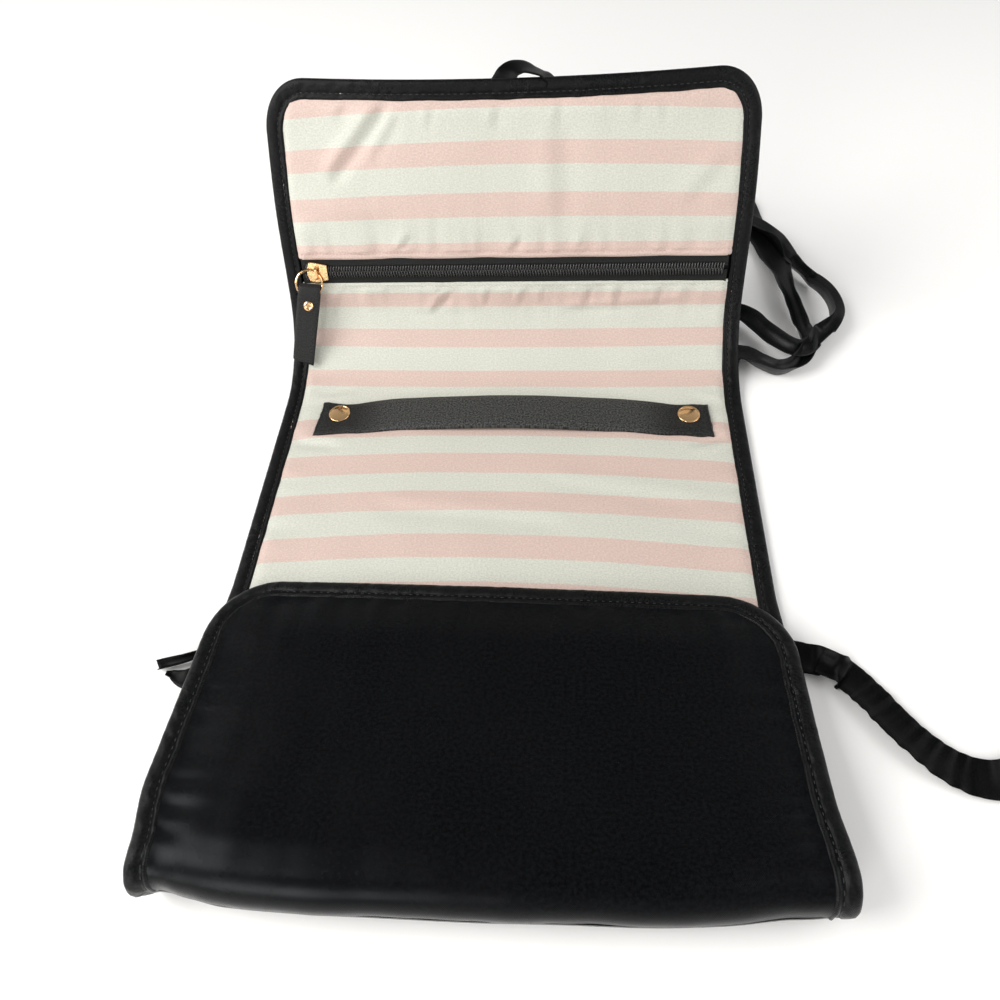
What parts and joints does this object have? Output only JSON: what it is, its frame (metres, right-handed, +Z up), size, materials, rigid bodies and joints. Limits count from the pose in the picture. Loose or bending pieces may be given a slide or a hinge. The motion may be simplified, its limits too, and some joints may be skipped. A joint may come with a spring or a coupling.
{
  "type": "hanging travel organizer",
  "caption": "Folding padded travel roll with a striped lining, a zip pocket in the raised end section, a snap strap, a hanging loop and ribbon ties.",
  "frame": {"origin": "centre of the underside of the lower section's cover, on the table", "axes": "+X to the right along the folds, +Y from the front fold towards the raised end section, +Z up"},
  "size_m": [0.3681, 0.4304, 0.142],
  "materials": {
    "satin": "satin",
    "padding": "matt",
    "striped_lining": "matt, striped pink and cream",
    "zip_tape": "matt woven",
    "zip_coil": "satin",
    "gold_metal": "polished",
    "leather": "fine grain",
    "ribbon": "satin"
  },
  "bodies": {
    "lower_section": {"lower_cover": "satin", "lower_padding": "padding", "lower_lining": "striped_lining", "lower_binding_left": "satin", "lower_binding_right": "satin", "front_fold_cover": "satin", "front_fold_padding": "padding", "front_fold_lining": "striped_lining", "tie_sash": "ribbon", "tie_tail_upper": "ribbon", "tie_tail_lower": "ribbon"},
    "spine": {"spine_cover": "satin", "spine_lining": "striped_lining", "flap_fold_cover": "satin", "flap_fold_padding": "padding", "flap_fold_lining": "striped_lining"},
    "flap": {"flap_cover": "satin", "flap_padding": "padding", "flap_lining": "striped_lining", "flap_binding": "satin"},
    "middle_section": {"crease_cover": "satin", "crease_padding": "padding", "crease_lining": "striped_lining", "middle_cover": "satin", "middle_padding": "padding", "middle_lining": "striped_lining", "middle_binding_left": "satin", "middle_binding_right": "satin", "strap_anchor": "satin", "snap_cap_left": "gold_metal", "snap_socket_left": "gold_metal", "snap_stud_left": "gold_metal", "snap_stud_right": "gold_metal", "tie_loop": "ribbon"},
    "top_section": {"back_fold_cover": "satin", "back_fold_padding": "padding", "back_fold_lining": "striped_lining", "top_cover": "satin", "top_padding": "padding", "top_lining": "striped_lining", "pocket_lip": "striped_lining", "pocket_back": "striped_lining", "top_binding": "satin", "zip_tape_upper": "zip_tape", "zip_tape_lower": "zip_tape", "zip_coil_upper": "zip_coil", "zip_coil_lower": "zip_coil", "hang_loop": "ribbon"},
    "slider": {"zip_slider": "gold_metal"},
    "pull": {"pull_ring": "gold_metal", "pull_tab": "leather", "tab_rivet": "gold_metal"},
    "strap": {"strap_band": "satin", "snap_cap_right": "gold_metal", "snap_socket_right": "gold_metal"}
  },
  "joints": [
    {"name": "middle_fold", "type": "hinge", "parent": "lower_section", "child": "middle_section", "pos_m": [0, 0.07175, 0.0038], "axis": [1, 0, 0], "range_deg": [0, 145], "deforming": ["crease_cover", "crease_padding", "crease_lining"]},
    {"name": "top_fold", "type": "hinge", "parent": "middle_section", "child": "top_section", "pos_m": [0, 0.19659, 0.0129], "axis": [-1, 0, 0], "range_deg": [-112, 62], "deforming": ["back_fold_cover", "back_fold_padding", "back_fold_lining"]},
    {"name": "spine_fold", "type": "hinge", "parent": "lower_section", "child": "spine", "pos_m": [0, -0.07411, 0.00454], "axis": [1, 0, 0], "range_deg": [0, 90], "deforming": ["front_fold_cover", "front_fold_padding", "front_fold_lining"]},
    {"name": "flap_fold", "type": "hinge", "parent": "spine", "child": "flap", "pos_m": [0, -0.07357, 0.02277], "axis": [1, 0, 0], "range_deg": [0, 99.45], "deforming": ["flap_fold_cover", "flap_fold_padding", "flap_fold_lining"]},
    {"name": "zip_slide", "type": "slide", "parent": "top_section", "child": "slider", "axis": [1, 0, 0], "range_m": [0, 0.206], "deforming": ["zip_coil_upper", "zip_coil_lower"]},
    {"name": "pull_swing", "type": "hinge", "parent": "slider", "child": "pull", "pos_m": [-0.1034, 0.21713, 0.05073], "axis": [-0.7547, 0.2553, 0.6044], "range_deg": [-10, 160]},
    {"name": "strap_swing", "type": "hinge", "parent": "middle_section", "child": "strap", "pos_m": [-0.08185, 0.16015, 0.009], "axis": [0, -1, 0], "range_deg": [0, 150]}
  ],
  "couplings": [
    {"joint": "flap_fold", "follows": "spine_fold", "ratio": 1.105}
  ]
}
